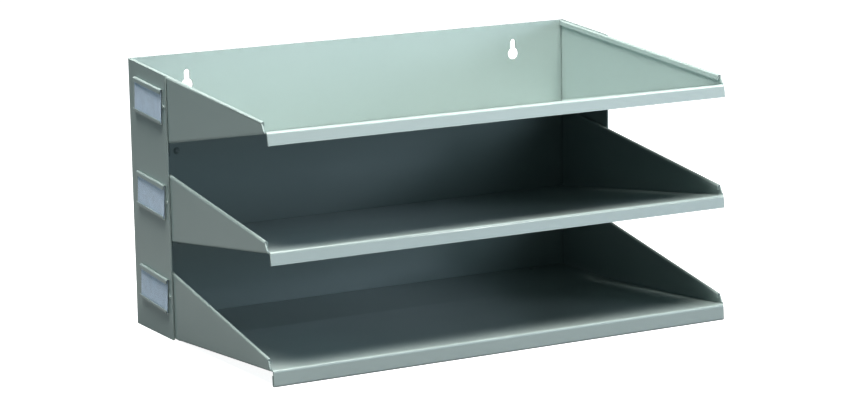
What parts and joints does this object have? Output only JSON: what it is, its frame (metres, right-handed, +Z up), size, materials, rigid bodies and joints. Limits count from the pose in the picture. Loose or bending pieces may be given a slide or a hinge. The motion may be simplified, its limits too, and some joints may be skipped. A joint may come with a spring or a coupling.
{
  "type": "desktop file sorter",
  "caption": "Enamelled steel desktop file sorter: tilted open trays fanned out of a shallow back housing, with card label holders on one side and keyholes for a wall.",
  "frame": {"origin": "centre of the footprint, on the desk plane", "axes": "+X along the width, +Y from the open front to the back, +Z up"},
  "size_m": [0.3836, 0.235, 0.2032],
  "materials": {
    "housing_enamel": "semi-gloss",
    "tray_enamel": "semi-gloss",
    "holder_enamel": "semi-gloss",
    "rivet_steel": "semi-gloss",
    "card": "matte",
    "window": "clear"
  },
  "bodies": {
    "sorter": {"back_housing": "housing_enamel", "bottom_tray": "tray_enamel", "middle_tray": "tray_enamel", "top_tray": "tray_enamel", "tray_rivets": "rivet_steel", "label_holder_bottom": "holder_enamel", "label_holder_middle": "holder_enamel", "label_holder_top": "holder_enamel", "label_rivets": "rivet_steel"},
    "card_bottom": {"label_card_bottom": "card"},
    "window_bottom": {"label_window_bottom": "window"},
    "card_middle": {"label_card_middle": "card"},
    "window_middle": {"label_window_middle": "window"},
    "card_top": {"label_card_top": "card"},
    "window_top": {"label_window_top": "window"}
  },
  "joints": [
    {"name": "card_bottom_slide", "type": "slide", "parent": "sorter", "child": "card_bottom", "axis": [0, -0.9971, -0.0756], "range_m": [0, 0.055]},
    {"name": "window_bottom_slide", "type": "slide", "parent": "sorter", "child": "window_bottom", "axis": [0, -0.9971, -0.0756], "range_m": [0, 0.055]},
    {"name": "card_middle_slide", "type": "slide", "parent": "sorter", "child": "card_middle", "axis": [0, -0.9971, -0.0756], "range_m": [0, 0.055]},
    {"name": "window_middle_slide", "type": "slide", "parent": "sorter", "child": "window_middle", "axis": [0, -0.9971, -0.0756], "range_m": [0, 0.055]},
    {"name": "card_top_slide", "type": "slide", "parent": "sorter", "child": "card_top", "axis": [0, -0.9971, -0.0756], "range_m": [0, 0.055]},
    {"name": "window_top_slide", "type": "slide", "parent": "sorter", "child": "window_top", "axis": [0, -0.9971, -0.0756], "range_m": [0, 0.055]}
  ]
}
